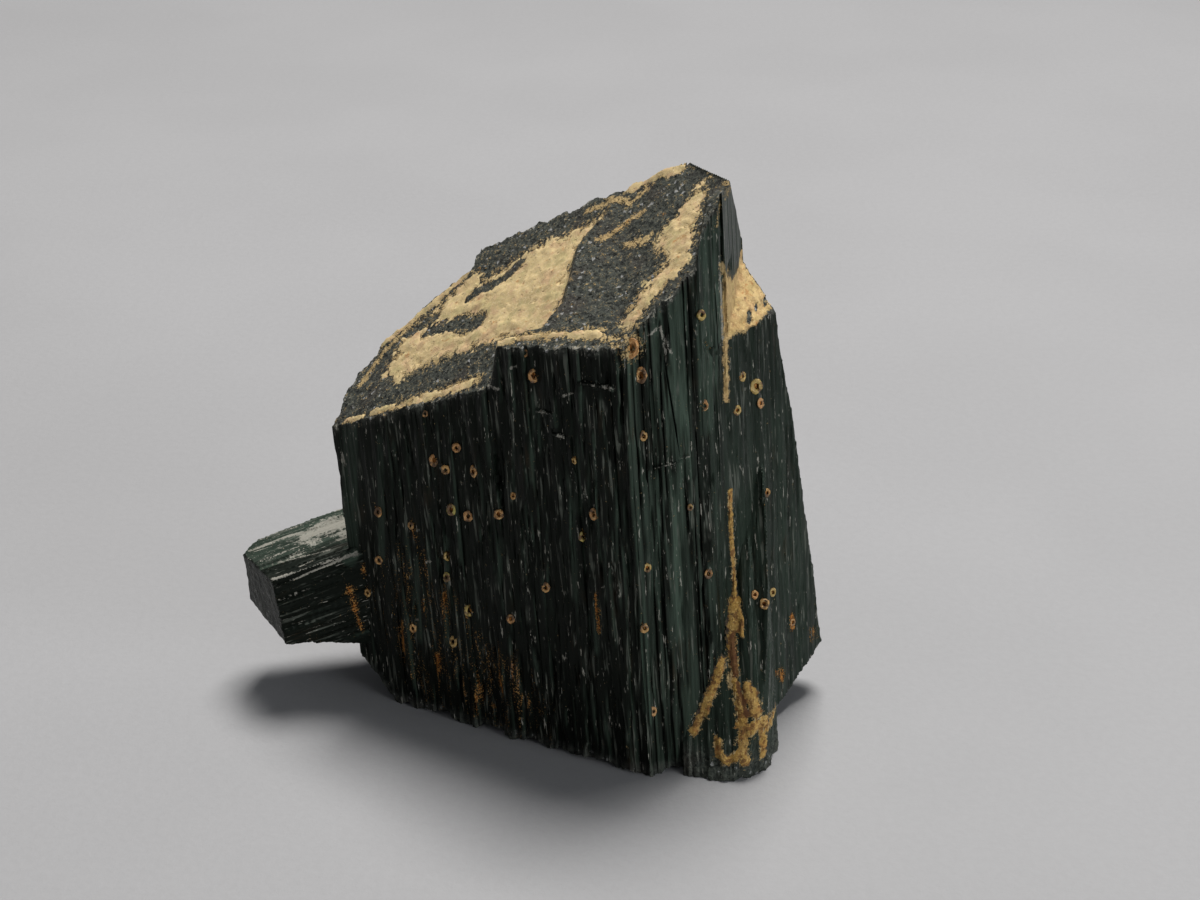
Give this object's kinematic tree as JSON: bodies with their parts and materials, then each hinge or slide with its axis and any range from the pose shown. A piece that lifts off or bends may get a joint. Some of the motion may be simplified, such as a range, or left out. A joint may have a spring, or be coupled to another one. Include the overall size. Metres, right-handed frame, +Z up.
{
  "type": "ilvaite crystal",
  "caption": "Stout black striated mineral crystal with a slanting rough top, a smaller crystal and a stub grown onto it, standing on its broken base.",
  "frame": {"origin": "middle of the crystal's box in plan, at the level of the surface it stands on", "axes": "+Z is up, away from the surface it stands on; +X runs from the stub to the side crystal; +Y points from the two large front faces to the back"},
  "size_m": [0.0252, 0.0118, 0.0246],
  "materials": {
    "ilvaite": "satin",
    "clay": "matte"
  },
  "bodies": {
    "root": {"ilvaite_crystal": "ilvaite"}
  },
  "joints": []
}
